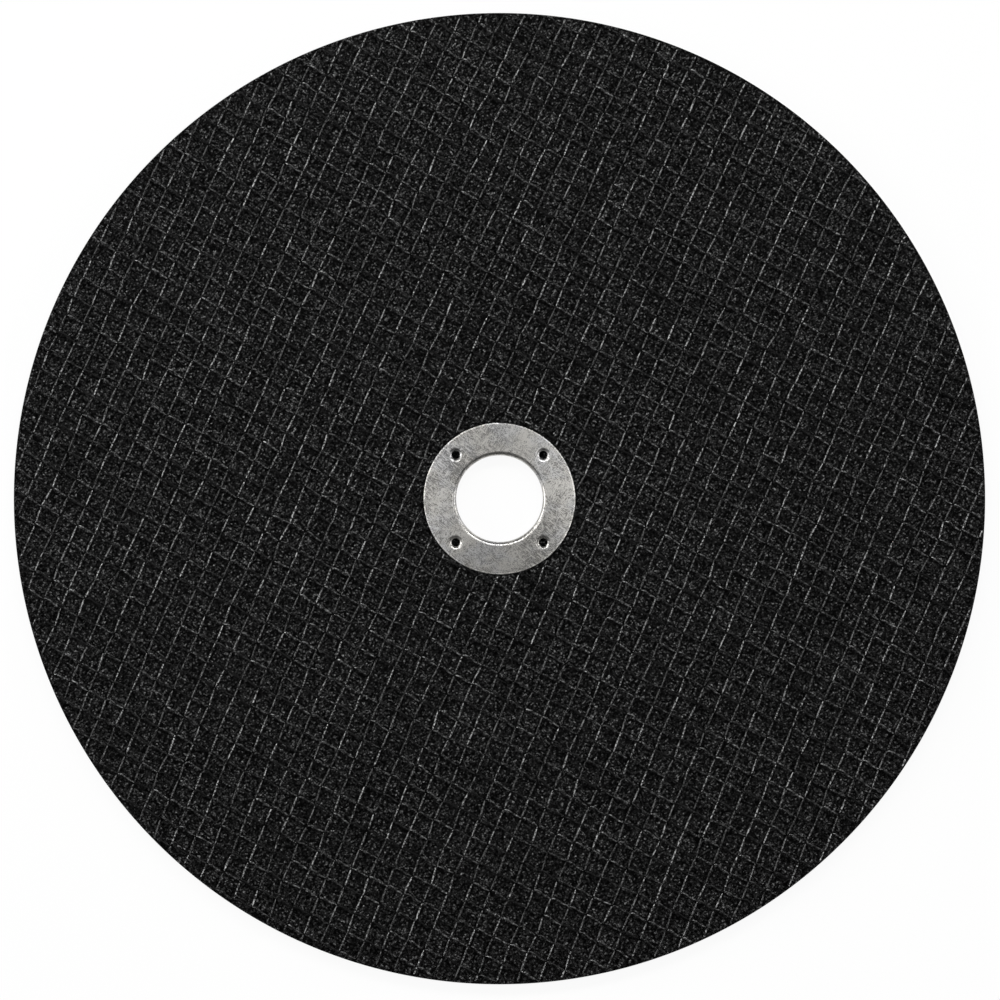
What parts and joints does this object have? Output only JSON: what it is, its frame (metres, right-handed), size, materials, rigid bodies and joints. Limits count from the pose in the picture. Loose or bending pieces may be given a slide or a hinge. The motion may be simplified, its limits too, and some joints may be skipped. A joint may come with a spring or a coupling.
{
  "type": "cut off wheel",
  "caption": "Thin round abrasive cut off wheel with a woven glass relief on its faces and a stamped steel bush, with pierced prongs, round its bore.",
  "frame": {"origin": "on the bore's axis, in the plane of the yarn crests of the back face, which the wheel lies on", "axes": "+Z along the bore's axis, out of the face with the steel flange; +X and +Y lie in the wheel's plane, with the first prong halfway between them"},
  "size_m": [0.1778, 0.1778, 0.0034],
  "materials": {
    "bonded_abrasive": "black resin bonded grit, rough, with resin-coated glass yarns standing proud",
    "zinc_plated_steel": "grey zinc plated sheet, mottled and finely scratched"
  },
  "bodies": {
    "root": {"abrasive_disc": "bonded_abrasive", "bush_ring": "zinc_plated_steel"}
  },
  "joints": []
}
